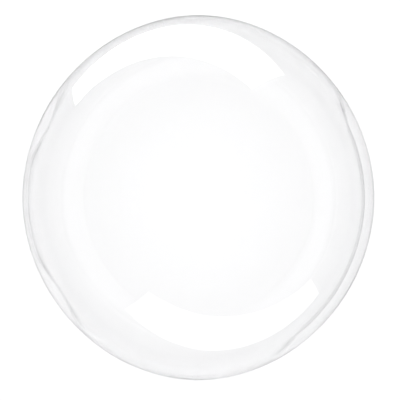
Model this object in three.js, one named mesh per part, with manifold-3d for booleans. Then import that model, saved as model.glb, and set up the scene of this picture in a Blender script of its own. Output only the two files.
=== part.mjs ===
// A clear bubble balloon, blown up and lying on its back panel.
//
// Two round panels of thin film are welded together round their rims and stretched by the air
// inside into a near sphere. The weld lies level at half height. It runs through the crown at +Y
// and the neck at -Y, where it follows the outline, and it is drawn in between the two bulging
// panels along both sides. The neck is heat-sealed and trimmed to a short flat stub.
//
// The balloon is sealed, so it is one closed solid. Units are millimetres, +Z is up, and the
// origin is on the ground under the middle of the bounding box.

import * as THREE from "three";
import { mergeVertices } from "three/addons/utils/BufferGeometryUtils.js";
import Module from "manifold-3d";

// Driving dimensions of the blown-up film, before the weld draws it in.
const WIDTH = 460; // side to side, and front to back
const LENGTH = 477; // crown to neck
const OUTLINE_POWER = 1.95; // 2 is an ellipse, and less draws the diagonals in
const REST_RADIUS = 45; // of the flat spot that it lies on

// The weld between the panels.
const WELD_REACH = 2.5; // how far its trimmed edge stands out from the film
const WELD_THICKNESS = 1.2;
const GROOVE_HALF_HEIGHT = 40; // how far up and down the weld draws the film in
const TUCKS = [
  { centre: -14, halfAngle: 52, depth: 12, fade: 0 }, // along the right side, degrees from +X
  { centre: 184, halfAngle: 46, depth: 10, fade: 0.8 }, // along the left side, and slack mid-way
];
const TUCK_RAMP = 16; // degrees over which a tuck deepens at each end
const TUCK_FADED = 0.7; // share of the half angle by which a slack tuck has fully faded

// The trimmed neck.
const NECK_WIDTH = 11;
const NECK_REACH = 4; // past the edge of the weld
const NECK_ROOT = 14; // how far it runs back into the balloon
const NECK_THICKNESS = 2;
const NECK_CORNER = 2;

// How finely the curved film is faceted.
const SEGMENTS = 80;
const PANEL_RINGS = 14;
const GROOVE_RINGS = 5;

const RADIUS = WIDTH / 2;
const STRETCH = LENGTH / WIDTH;
const CENTRE_HEIGHT = Math.sqrt(RADIUS ** 2 - REST_RADIUS ** 2);

// A panel's profile as points on a round balloon, from the ring at one angle above the weld down
// to the weld. The rings are closer together where the weld draws the film in.
function panelProfile(farAngle) {
  const grooveAngle = Math.asin(GROOVE_HALF_HEIGHT / RADIUS);
  const heights = [];
  for (let ring = 0; ring < PANEL_RINGS; ring++) {
    const angle = THREE.MathUtils.lerp(farAngle, grooveAngle, ring / PANEL_RINGS);
    heights.push(RADIUS * Math.sin(angle));
  }
  for (let ring = 0; ring <= GROOVE_RINGS; ring++) {
    const share = ring / GROOVE_RINGS;
    heights.push(THREE.MathUtils.lerp(GROOVE_HALF_HEIGHT, WELD_THICKNESS / 2, share));
  }
  return heights.map((height) => new THREE.Vector2(Math.sqrt(RADIUS ** 2 - height ** 2), height));
}

// The whole profile of a round balloon, from the middle of the flat spot, out and up over the
// weld's edge, to the middle of the front panel.
function balloonProfile() {
  const back = panelProfile(Math.acos(REST_RADIUS / RADIUS));
  const front = panelProfile(Math.PI / 2);
  return [
    new THREE.Vector2(0, -CENTRE_HEIGHT),
    ...back.map((point) => new THREE.Vector2(point.x, -point.y)),
    new THREE.Vector2(RADIUS + WELD_REACH, -WELD_THICKNESS / 2),
    new THREE.Vector2(RADIUS + WELD_REACH, WELD_THICKNESS / 2),
    ...front.reverse(),
  ];
}

// The outline's reach in one direction, as a share of the balloon's half width.
function outlineShare(azimuth) {
  const across = Math.abs(Math.cos(azimuth)) ** OUTLINE_POWER;
  const along = (Math.abs(Math.sin(azimuth)) / STRETCH) ** OUTLINE_POWER;
  return (across + along) ** (-1 / OUTLINE_POWER);
}

// How far the weld is drawn in at one direction.
function tuckDepth(azimuth) {
  let depth = 0;
  for (const tuck of TUCKS) {
    const turn = THREE.MathUtils.radToDeg(azimuth) - tuck.centre;
    const offCentre = Math.abs(THREE.MathUtils.euclideanModulo(turn + 180, 360) - 180);
    const inside = tuck.halfAngle - offCentre;
    const opening = THREE.MathUtils.smoothstep(inside, 0, TUCK_RAMP);
    const slack = THREE.MathUtils.smoothstep(inside, TUCK_RAMP, TUCK_FADED * tuck.halfAngle);
    depth += tuck.depth * opening * (1 - tuck.fade * slack);
  }
  return depth;
}

// Gives the round balloon its own outline and draws the film in along the weld.
function shapeFilm(geometry) {
  const points = geometry.getAttribute("position");
  for (let i = 0; i < points.count; i++) {
    const azimuth = Math.atan2(points.getY(i), points.getX(i));
    const nearWeld = Math.max(0, 1 - Math.abs(points.getZ(i)) / GROOVE_HALF_HEIGHT);
    const drawnIn = tuckDepth(azimuth) * nearWeld ** 2;
    const roundReach = Math.hypot(points.getX(i), points.getY(i));
    const reach = (roundReach - drawnIn) * outlineShare(azimuth);
    points.setXY(i, reach * Math.cos(azimuth), reach * Math.sin(azimuth));
  }
}

function filmGeometry() {
  const geometry = new THREE.LatheGeometry(balloonProfile(), SEGMENTS);
  geometry.rotateX(Math.PI / 2);
  shapeFilm(geometry);
  return geometry;
}

// The flat stub, with its two outer corners rounded, centred on the weld's height.
function neckGeometry() {
  const rim = -(LENGTH / 2 + WELD_REACH * STRETCH);
  const end = rim - NECK_REACH;
  const half = NECK_WIDTH / 2;
  const stub = new THREE.Shape();
  stub.moveTo(half, rim + NECK_ROOT);
  stub.lineTo(-half, rim + NECK_ROOT);
  stub.lineTo(-half, end + NECK_CORNER);
  stub.quadraticCurveTo(-half, end, -half + NECK_CORNER, end);
  stub.lineTo(half - NECK_CORNER, end);
  stub.quadraticCurveTo(half, end, half, end + NECK_CORNER);
  stub.closePath();
  const geometry = new THREE.ExtrudeGeometry(stub, {
    depth: NECK_THICKNESS,
    bevelEnabled: false,
    curveSegments: 4,
  });
  geometry.translate(0, 0, -NECK_THICKNESS / 2);
  return geometry;
}

// The triangles of a merged mesh, without those that collapsed to a line on the lathe's axis.
function wholeTriangles(index) {
  const corners = [];
  for (let i = 0; i < index.count; i += 3) {
    const [a, b, c] = [index.getX(i), index.getX(i + 1), index.getX(i + 2)];
    if (a !== b && b !== c && c !== a) {
      corners.push(a, b, c);
    }
  }
  return new Uint32Array(corners);
}

function toSolid(wasm, geometry) {
  const bare = geometry.clone();
  bare.deleteAttribute("normal");
  bare.deleteAttribute("uv");
  const merged = mergeVertices(bare, 1e-3);
  const mesh = new wasm.Mesh({
    numProp: 3,
    vertProperties: new Float32Array(merged.getAttribute("position").array),
    triVerts: wholeTriangles(merged.getIndex()),
  });
  return new wasm.Manifold(mesh);
}

function toGeometry(solid) {
  const { vertProperties, triVerts } = solid.getMesh();
  const geometry = new THREE.BufferGeometry();
  geometry.setAttribute("position", new THREE.BufferAttribute(vertProperties, 3));
  geometry.setIndex(new THREE.BufferAttribute(triVerts, 1));
  geometry.computeVertexNormals();
  return geometry;
}

const wasm = await Module();
wasm.setup();

const clearFilm = new THREE.MeshStandardMaterial({
  color: 0xf2f1f7,
  roughness: 0.05,
  metalness: 0,
  transparent: true,
  opacity: 0.25,
});

const envelopeSolid = toSolid(wasm, filmGeometry()).add(toSolid(wasm, neckGeometry()));
const envelope = new THREE.Mesh(toGeometry(envelopeSolid), clearFilm);
envelope.name = "envelope";
envelope.geometry.computeBoundingBox();
const middle = envelope.geometry.boundingBox.getCenter(new THREE.Vector3());
envelope.position.set(-middle.x, -middle.y, CENTRE_HEIGHT);

const balloon = new THREE.Group();
balloon.add(envelope);

export default balloon;
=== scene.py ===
"""A clear bubble balloon lying on its back panel, seen from straight above.

The CAD node is a plain closed solid. Here it is replaced by what the real thing is: a skin of thin
clear film with air inside, its welded edge, and its sealed neck. Lengths are in metres. A
direction round the weld is an azimuth, turning from +X towards the crown at +Y.
"""

import math

import bpy
import numpy as np
from mathutils import Matrix, Vector


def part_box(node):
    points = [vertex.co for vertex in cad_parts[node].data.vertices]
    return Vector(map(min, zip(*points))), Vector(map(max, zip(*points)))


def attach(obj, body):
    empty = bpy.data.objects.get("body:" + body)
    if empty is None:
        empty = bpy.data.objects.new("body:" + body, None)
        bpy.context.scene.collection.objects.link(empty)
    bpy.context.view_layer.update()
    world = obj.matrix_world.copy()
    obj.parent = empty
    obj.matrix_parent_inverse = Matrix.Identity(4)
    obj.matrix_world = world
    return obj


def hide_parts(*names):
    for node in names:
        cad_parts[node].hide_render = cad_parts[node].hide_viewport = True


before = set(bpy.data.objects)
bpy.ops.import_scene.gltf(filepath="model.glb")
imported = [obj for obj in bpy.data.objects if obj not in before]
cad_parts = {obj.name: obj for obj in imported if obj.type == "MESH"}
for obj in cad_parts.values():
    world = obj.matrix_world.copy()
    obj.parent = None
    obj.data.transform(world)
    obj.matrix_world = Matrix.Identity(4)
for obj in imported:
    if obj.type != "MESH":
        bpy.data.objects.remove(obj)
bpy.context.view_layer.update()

# The balloon's shape, as in the part.
REST_RADIUS = 0.045  # of the flat spot that it lies on
OUTLINE_POWER = 1.95  # 2 is an ellipse, and less draws the diagonals in
WELD_REACH = 0.0025  # how far its trimmed edge stands out from the film
GROOVE_HALF_HEIGHT = 0.040  # how far up and down the weld draws the film in
# Where the weld is drawn in: along the right side, and along the left, where it is slack mid-way.
TUCKS = [
    {"centre": -14, "half_angle": 52, "depth": 0.012, "fade": 0.0},  # angles in degrees
    {"centre": 184, "half_angle": 46, "depth": 0.010, "fade": 0.8},
]
TUCK_RAMP = 16  # degrees over which a tuck deepens at each end
TUCK_FADED = 0.7  # share of the half angle by which a slack tuck has fully faded
NECK_AZIMUTH = -90.0  # degrees
NECK_WIDTH = 0.011
NECK_REACH = 0.004  # past the edge of the weld
NECK_CORNER = 0.002

# What is too thin for the solid.
FILM_THICKNESS = 0.00015
WELD_THICKNESS = 0.0003

# The puckers where the film gathers into the weld: how high they stand, and how far up they run.
PUCKER_COUNTS = (61, 83, 107, 138, 171)  # of waves round the weld, all at once
PUCKER_HEIGHT = 0.00008
PUCKER_PER_TUCK = 0.012  # added height, as a share of how far the weld is drawn in
PUCKER_AT_NECK = 0.0004  # added height
PUCKER_NECK_SPREAD = 7.0  # degrees over which that fades
PUCKER_AT_CROWN = 0.00015  # added height
PUCKER_CROWN_SPREAD = 9.0
PUCKER_RUN = 0.010
PUCKER_RUN_AT_NECK = 0.018  # added run
PUCKER_RUN_SPREAD = 9.0
PUCKER_BACK_SHIFT = 0.02  # radians between the front panel's puckers and the back panel's

# The neck's crimps and its slight curl and flare.
CRIMP_PITCH = 0.0012
CRIMP_DEPTH = 0.3  # share of the neck's thickness
CURL_HEIGHT = 0.0006
CURL_WAVES = 9.0  # radians of wave from the middle to each side
NECK_FLARE = 0.004  # added on each side where the neck meets the weld

# How finely the surfaces are divided.
SEGMENTS = 288
PANEL_RINGS = 40
GROOVE_RINGS = 18
NECK_SIDES = 64
NECK_RINGS = 48
SPOT_EDGE = 0.0003  # height over which the film bends into the flat spot

LOW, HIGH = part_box("envelope")
RADIUS = (HIGH.z**2 + REST_RADIUS**2) / (2 * HIGH.z)
STRETCH = (HIGH.y - LOW.y - NECK_REACH) / (2 * (RADIUS + WELD_REACH))


# --- The film's shape -------------------------------------------------------------------------


def smoothstep(value, low, high):
    share = np.clip((value - low) / (high - low), 0.0, 1.0)
    return share * share * (3.0 - 2.0 * share)


def bell(distance, spread):
    """1 at no distance, falling away smoothly over a spread."""
    return np.exp(-((distance / spread) ** 2))


def degrees_from(azimuth, centre):
    """How many degrees an azimuth, in radians, lies from a centre in degrees, either way round."""
    return np.abs((np.degrees(azimuth) - centre + 180.0) % 360.0 - 180.0)


def outline_share(azimuth):
    """The outline's reach in one direction, as a share of the balloon's half width."""
    across = np.abs(np.cos(azimuth)) ** OUTLINE_POWER
    along = (np.abs(np.sin(azimuth)) / STRETCH) ** OUTLINE_POWER
    return (across + along) ** (-1.0 / OUTLINE_POWER)


def tuck_depth(azimuth):
    """How far the weld is drawn in at one direction."""
    depth = np.zeros_like(azimuth)
    for tuck in TUCKS:
        inside = tuck["half_angle"] - degrees_from(azimuth, tuck["centre"])
        opening = smoothstep(inside, 0.0, TUCK_RAMP)
        slack = smoothstep(inside, TUCK_RAMP, TUCK_FADED * tuck["half_angle"])
        depth += tuck["depth"] * opening * (1.0 - tuck["fade"] * slack)
    return depth


# The middle of the blown-up film, from the box: the weld's leftmost point is at 180 degrees.
LEFT_REACH = RADIUS + WELD_REACH - float(tuck_depth(np.array(math.pi)))
CENTRE = Vector((LOW.x + LEFT_REACH, (LOW.y + HIGH.y + NECK_REACH) / 2, HIGH.z - RADIUS))


def pucker_wave(azimuth):
    """An uneven wave round the weld, mostly between -1 and 1: several waves that swell and fade."""
    rng = np.random.default_rng(7)
    wave = np.zeros_like(azimuth)
    for count in PUCKER_COUNTS:
        swell = 0.5 + 0.5 * np.sin(rng.integers(2, 9) * azimuth + rng.uniform(0, math.tau))
        wave += swell * np.sin(count * azimuth + rng.uniform(0, math.tau)) / 2.0
    return wave


def pucker_height(azimuth, height):
    """How far the puckers lift the film off its smooth shape."""
    from_neck = degrees_from(azimuth, NECK_AZIMUTH)
    from_crown = 180.0 - from_neck
    strength = PUCKER_HEIGHT + PUCKER_PER_TUCK * tuck_depth(azimuth)
    strength = strength + PUCKER_AT_NECK * bell(from_neck, PUCKER_NECK_SPREAD)
    strength = strength + PUCKER_AT_CROWN * bell(from_crown, PUCKER_CROWN_SPREAD)
    run = PUCKER_RUN + PUCKER_RUN_AT_NECK * bell(from_neck, PUCKER_RUN_SPREAD)
    return strength * pucker_wave(azimuth) * np.exp(-np.abs(height) / run)


def film_points(heights, azimuth, direction):
    """Rings of points on one panel's outside. direction is 1 for the front and -1 for the back."""
    height, azimuth = np.meshgrid(heights, azimuth, indexing="ij")
    round_reach = np.sqrt(np.maximum(RADIUS**2 - height**2, 0.0))
    near_weld = np.maximum(0.0, 1.0 - height / GROOVE_HALF_HEIGHT) ** 2
    shift = PUCKER_BACK_SHIFT if direction < 0 else 0.0
    pucker = pucker_height(azimuth + shift, height)
    reach = (round_reach - tuck_depth(azimuth) * near_weld) * outline_share(azimuth)
    reach = reach + pucker * round_reach / RADIUS
    over_floor = direction * height + CENTRE.z
    x = CENTRE.x + reach * np.cos(azimuth)
    y = CENTRE.y + reach * np.sin(azimuth)
    z = SPOT_EDGE * np.logaddexp(0.0, over_floor / SPOT_EDGE)
    return np.stack([x, y, z], axis=2)


def panel_heights():
    """Heights of a panel's rings from the weld's level, from beside its middle to the weld."""
    groove_angle = math.asin(GROOVE_HALF_HEIGHT / RADIUS)
    steps = np.arange(1, PANEL_RINGS) / PANEL_RINGS
    panel = RADIUS * np.sin(math.pi / 2 + (groove_angle - math.pi / 2) * steps)
    share = 1.0 - np.arange(GROOVE_RINGS + 1) / GROOVE_RINGS
    groove = WELD_THICKNESS / 2 + (GROOVE_HALF_HEIGHT - WELD_THICKNESS / 2) * share**1.5
    return np.concatenate([panel, groove])


def ring_normals(rings):
    """Outward normals of a grid of rings that run down and then round."""
    down = np.gradient(rings, axis=0)
    around = np.roll(rings, -1, axis=1) - np.roll(rings, 1, axis=1)
    normals = np.cross(around, down)
    normals /= np.maximum(np.linalg.norm(normals, axis=2, keepdims=True), 1e-12)
    outward = rings - np.array(CENTRE)
    return normals * np.sign((normals * outward).sum())


def closed_rings(top, rings, bottom):
    """Vertices and faces of a closed surface: a top point, rings round it, and a bottom point."""
    count = rings.shape[1]
    points = [top, *rings.reshape(-1, 3).tolist(), bottom]
    last = len(points) - 1
    faces = []
    for i in range(count):
        faces.append((0, 1 + i, 1 + (i + 1) % count))
    for ring in range(rings.shape[0] - 1):
        a, b = 1 + ring * count, 1 + (ring + 1) * count
        for i in range(count):
            j = (i + 1) % count
            faces.append((a + i, b + i, b + j, a + j))
    a = 1 + (rings.shape[0] - 1) * count
    for i in range(count):
        faces.append((a + i, last, a + (i + 1) % count))
    return points, faces


def build_film():
    azimuth = np.arange(SEGMENTS) * math.tau / SEGMENTS
    heights = panel_heights()
    front = film_points(heights, azimuth, 1)
    back = film_points(heights, azimuth, -1)
    root = (front[-1] + back[-1]) / 2
    outward = np.stack([np.cos(azimuth), np.sin(azimuth), np.zeros_like(azimuth)], axis=1)
    edge = root + outward * (WELD_REACH * outline_share(azimuth))[:, None]
    lift = np.array([0.0, 0.0, WELD_THICKNESS / 2])
    inset = outward * WELD_THICKNESS / 2

    front_middle = [CENTRE.x, CENTRE.y, HIGH.z]
    back_middle = [CENTRE.x, CENTRE.y, 0.0]
    weld = np.stack([edge - inset + lift, edge, edge - inset - lift])
    outer = np.concatenate([front, weld, back[::-1]])
    outer_points, outer_faces = closed_rings(front_middle, outer, back_middle)

    inner_front = front - ring_normals(front) * FILM_THICKNESS
    inner_back = back - ring_normals(back) * FILM_THICKNESS
    inner_root = (root - outward * FILM_THICKNESS)[None]
    inner = np.concatenate([inner_front, inner_root, inner_back[::-1]])
    inner_points, inner_faces = closed_rings(
        [CENTRE.x, CENTRE.y, HIGH.z - FILM_THICKNESS],
        inner,
        [CENTRE.x, CENTRE.y, FILM_THICKNESS],
    )
    offset = len(outer_points)
    inner_faces = [tuple(offset + v for v in reversed(face)) for face in inner_faces]

    mesh = bpy.data.meshes.new("clear_film")
    mesh.from_pydata(outer_points + inner_points, [], outer_faces + inner_faces)
    mesh.update()
    weld_first = SEGMENTS * len(heights)
    weld_last = weld_first + SEGMENTS * (len(weld) + 1)
    for index in range(weld_first, weld_last):
        mesh.polygons[index].material_index = 1
    mesh.polygons.foreach_set("use_smooth", [True] * len(mesh.polygons))
    mesh.set_sharp_from_angle(angle=math.radians(50))
    return mesh


def build_neck():
    """The trimmed neck: two films sealed flat, crimped across, with rounded outer corners."""
    end = LOW.y
    root = end + NECK_REACH + 2 * WELD_REACH
    turn = np.arange(NECK_SIDES) * math.tau / NECK_SIDES
    rings = []
    for y in np.linspace(root, end, NECK_RINGS + 2)[1:-1]:
        past_corner = max(0.0, end + NECK_CORNER - y) / NECK_CORNER
        flare = NECK_FLARE * smoothstep(y, end + 0.6 * NECK_REACH, root)
        half = NECK_WIDTH / 2 + flare - NECK_CORNER * (1.0 - math.sqrt(1.0 - past_corner**2))
        crimp = 1.0 + CRIMP_DEPTH * math.cos(math.tau * (y - end) / CRIMP_PITCH)
        across = np.sign(np.sin(turn)) * np.abs(np.sin(turn)) ** 0.5
        x = half * across
        curl = CURL_HEIGHT * np.sin(CURL_WAVES * across + 1.0) * (root - y) / (root - end)
        z = CENTRE.z + curl + WELD_THICKNESS / 2 * crimp * np.cos(turn)
        rings.append(np.stack([x, np.full_like(x, y), z], axis=1))
    first, last = rings[0].mean(axis=0), rings[-1].mean(axis=0)
    first[1], last[1] = root, end
    points, faces = closed_rings(first.tolist(), np.array(rings), last.tolist())
    mesh = bpy.data.meshes.new("sealed_neck")
    mesh.from_pydata(points, [], faces)
    mesh.polygons.foreach_set("use_smooth", [True] * len(mesh.polygons))
    return mesh


# --- Materials --------------------------------------------------------------------------------


def new_material(name):
    material = bpy.data.materials.new(name)
    material.use_nodes = True
    return material, material.node_tree.nodes["Principled BSDF"]


def add_noise(material, scale, detail):
    """A noise pattern that stays with the piece."""
    nodes = material.node_tree.nodes
    place = nodes.new("ShaderNodeTexCoord")
    noise = nodes.new("ShaderNodeTexNoise")
    noise.inputs["Scale"].default_value = scale
    noise.inputs["Detail"].default_value = detail
    material.node_tree.links.new(place.outputs["Object"], noise.inputs["Vector"])
    return noise.outputs["Fac"]


def vary_roughness(material, shader, pattern, low, high):
    """Spreads a surface's roughness between two values, the low one where a pattern is dark."""
    spread = material.node_tree.nodes.new("ShaderNodeMapRange")
    spread.inputs["To Min"].default_value = low
    spread.inputs["To Max"].default_value = high
    material.node_tree.links.new(pattern, spread.inputs["Value"])
    material.node_tree.links.new(spread.outputs["Result"], shader.inputs["Roughness"])


def add_bump(material, shader, pattern, height):
    """Raises the surface by up to a height in metres where a pattern is light."""
    bump = material.node_tree.nodes.new("ShaderNodeBump")
    bump.inputs["Distance"].default_value = height
    material.node_tree.links.new(pattern, bump.inputs["Height"])
    material.node_tree.links.new(bump.outputs["Normal"], shader.inputs["Normal"])


def film_material():
    """Clear film: glass-like, with the finest draw marks and slow waves. Where it is seen edge-on
    its colour dims a little to lavender grey: partly the longer path through the film, partly
    painted shade at the rim.
    """
    material, shader = new_material("clear_film")
    shader.inputs["IOR"].default_value = 1.5
    shader.inputs["Transmission Weight"].default_value = 1.0

    # Partly painted shade: the colour dims towards lavender grey where the film is seen edge-on,
    # darkening its rim beyond what its longer path through the film would do.
    facing = material.node_tree.nodes.new("ShaderNodeLayerWeight")
    facing.inputs["Blend"].default_value = 0.5
    edge = material.node_tree.nodes.new("ShaderNodeValToRGB")
    edge.color_ramp.elements[0].position = 0.25
    edge.color_ramp.elements[0].color = (1.0, 1.0, 1.0, 1.0)
    edge.color_ramp.elements[1].color = (0.95, 0.95, 0.96, 1.0)
    material.node_tree.links.new(facing.outputs["Facing"], edge.inputs["Fac"])
    material.node_tree.links.new(edge.outputs["Color"], shader.inputs["Base Color"])

    marks = add_noise(material, 30.0, 4.0)
    vary_roughness(material, shader, marks, 0.0, 0.03)
    waves = add_noise(material, 9.0, 1.0)
    add_bump(material, shader, waves, 0.0004)
    return material


def weld_material():
    """The fused edge: the same film, a little frosted by the sealing bar."""
    material, shader = new_material("frosted_weld")
    shader.inputs["Base Color"].default_value = (0.99, 0.99, 0.995, 1.0)
    shader.inputs["IOR"].default_value = 1.5
    shader.inputs["Transmission Weight"].default_value = 1.0
    grain = add_noise(material, 600.0, 2.0)
    vary_roughness(material, shader, grain, 0.04, 0.12)
    add_bump(material, shader, grain, 0.00003)
    return material


# --- Pieces -----------------------------------------------------------------------------------


def add_piece(name, mesh, materials):
    """Adds a piece of film. It throws no shadow or light on the floor, as in the photo."""
    piece = bpy.data.objects.new(name, mesh)
    for material in materials:
        mesh.materials.append(material)
    bpy.context.scene.collection.objects.link(piece)
    piece.visible_shadow = False
    piece.visible_diffuse = False
    return piece


fused_film = weld_material()
film = add_piece("clear_film", build_film(), [film_material(), fused_film])
neck = add_piece("sealed_neck", build_neck(), [fused_film])
for piece in (film, neck):
    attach(piece, "root")
    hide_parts("envelope")


# --- The stage --------------------------------------------------------------------------------

CAMERA_DISTANCE = 5 * RADIUS
CAMERA_OFFSET = (0.0021, -0.0030)  # the balloon is a little off the middle of the picture
CAMERA_LENS = 77.6  # fills the picture as the photo does
FLOOR_HALF = 4.0
FLOOR_GAP = 0.0005  # keeps the floor clear of the film that lies on it

# The studio's brightness from straight below, at 0, past the horizon, at 0.5, to overhead, at 1.
# It and the lights were set by trial, so that the shading from above comes close to the photo's.
BELOW_HORIZON = {0.00: 0.65, 0.02: 0.72, 0.06: 0.90, 0.16: 0.62, 0.31: 0.26, 0.44: 0.26}
ABOVE_HORIZON = {0.50: 0.58, 0.60: 0.52, 1.00: 0.83}
# How its lower half varies once round, as a share of a full turn.
ROUND_HORIZON = {0.0: 0.92, 0.25: 1.08, 0.42: 0.78, 0.75: 0.80, 1.0: 0.92}
SKY_BLUE = 1.012  # how much stronger its blue is than its red and green


def add_camera():
    data = bpy.data.cameras.new("camera")
    data.lens = CAMERA_LENS
    data.sensor_width = 36.0
    camera = bpy.data.objects.new("camera", data)
    camera.location = CENTRE + Vector((*CAMERA_OFFSET, CAMERA_DISTANCE))
    bpy.context.scene.collection.objects.link(camera)
    bpy.context.scene.camera = camera


def add_floor():
    """A plain pale floor, hidden from rays that come straight off a reflection.

    A reflected ray that passes through film on its way down still meets it.
    """
    half = FLOOR_HALF
    mesh = bpy.data.meshes.new("floor")
    corners = [(-half, -half, 0), (half, -half, 0), (half, half, 0), (-half, half, 0)]
    mesh.from_pydata(corners, [], [(0, 1, 2, 3)])
    floor = bpy.data.objects.new("floor", mesh)
    floor.location.z = -FLOOR_GAP
    material, shader = new_material("floor")
    shader.inputs["Base Color"].default_value = (0.8, 0.8, 0.8, 1.0)
    shader.inputs["Roughness"].default_value = 1.0
    shader.inputs["Specular IOR Level"].default_value = 0.0
    mesh.materials.append(material)
    floor.visible_glossy = False
    bpy.context.scene.collection.objects.link(floor)


def area_light(name, place, towards, size, power):
    """A light that the camera doesn't see."""
    data = bpy.data.lights.new(name, "AREA")
    data.shape = "RECTANGLE"
    data.size, data.size_y = size
    data.energy = power
    light = bpy.data.objects.new(name, data)
    aim = (Vector(towards) - Vector(place)).to_track_quat("-Z", "Y")
    light.matrix_world = Matrix.LocRotScale(Vector(place), aim, None)
    light.visible_camera = False
    bpy.context.scene.collection.objects.link(light)
    return light


def strip_light(name, place, along, facing, size, radiance):
    """A softbox that shows in the film as a highlight and lights nothing else.

    It is centred at place, its long side runs along one direction, and it shines in another.
    """
    power = size[0] * size[1] * radiance * math.pi
    light = area_light(name, place, Vector(place) + Vector(facing), size, power)
    long_axis = Vector(along).normalized()
    back = -Vector(facing).normalized()
    turn = Matrix((long_axis, back.cross(long_axis), back)).transposed()
    light.matrix_world = Matrix.LocRotScale(Vector(place), turn, None)
    light.visible_diffuse = False
    light.visible_transmission = False


def add_lights():
    """A high, soft key that lights the floor, and two strips that the film mirrors.

    The strips stand in for what looks in the photo like one wide softbox, mirrored by both panels.
    """
    key = area_light("key", (0, -0.03, 4.0), (0, -0.03, 0), size=(1.7, 1.7), power=4.30)
    key.data.shape = "DISK"
    key.data.spread = math.radians(10)
    key.visible_glossy = False
    key.visible_transmission = False
    strip_light(
        "top_strip",
        place=(-0.1305, 0.408, 0.2335),
        along=(0.744, 0, 0.302),
        facing=(0, -1, 0),
        size=(0.84, 0.216),
        radiance=3.0,
    )
    strip_light(
        "low_strip",
        place=(0.178, -0.470, 0.371),
        along=(-0.897, 0, 0.271),
        facing=(0, 1, 0),
        size=(0.99, 0.212),
        radiance=1.5,
    )


def set_ramp(ramp, stops):
    """Gives a colour ramp its stops from 0 to 1, each a place and its brightness."""
    for place in list(stops)[1:-1]:
        ramp.elements.new(place)
    for element, value in zip(ramp.elements, stops.values()):
        element.color = (value, value, SKY_BLUE * value, 1.0)


def add_world():
    """A soft grey studio: bright overhead, dark just below the horizon, and bright further down.

    The floor hides the lower half, except from rays that come straight off a reflection.
    """
    world = bpy.data.worlds.new("world")
    world.use_nodes = True
    world.cycles.sampling_method = "NONE"
    nodes, links = world.node_tree.nodes, world.node_tree.links
    place = nodes.new("ShaderNodeTexCoord")
    split = nodes.new("ShaderNodeSeparateXYZ")
    links.new(place.outputs["Generated"], split.inputs["Vector"])
    height = nodes.new("ShaderNodeMapRange")
    height.inputs["From Min"].default_value = -1.0
    links.new(split.outputs["Z"], height.inputs["Value"])
    shade = nodes.new("ShaderNodeValToRGB")
    set_ramp(shade.color_ramp, {**BELOW_HORIZON, **ABOVE_HORIZON})
    links.new(height.outputs["Result"], shade.inputs["Fac"])
    around = nodes.new("ShaderNodeTexGradient")
    around.gradient_type = "RADIAL"
    links.new(place.outputs["Generated"], around.inputs["Vector"])
    side = nodes.new("ShaderNodeValToRGB")
    set_ramp(side.color_ramp, ROUND_HORIZON)
    side.color_ramp.interpolation = "EASE"
    links.new(around.outputs["Fac"], side.inputs["Fac"])
    below = nodes.new("ShaderNodeMapRange")
    below.inputs["From Min"].default_value = 0.0
    below.inputs["From Max"].default_value = -0.4
    links.new(split.outputs["Z"], below.inputs["Value"])
    strength = nodes.new("ShaderNodeMix")
    strength.inputs["A"].default_value = 1.0
    links.new(below.outputs["Result"], strength.inputs["Factor"])
    links.new(side.outputs["Color"], strength.inputs["B"])
    background = nodes["Background"]
    links.new(shade.outputs["Color"], background.inputs["Color"])
    links.new(strength.outputs["Result"], background.inputs["Strength"])
    bpy.context.scene.world = world


add_camera()
add_floor()
add_lights()
add_world()
bpy.context.scene.view_settings.view_transform = "Standard"
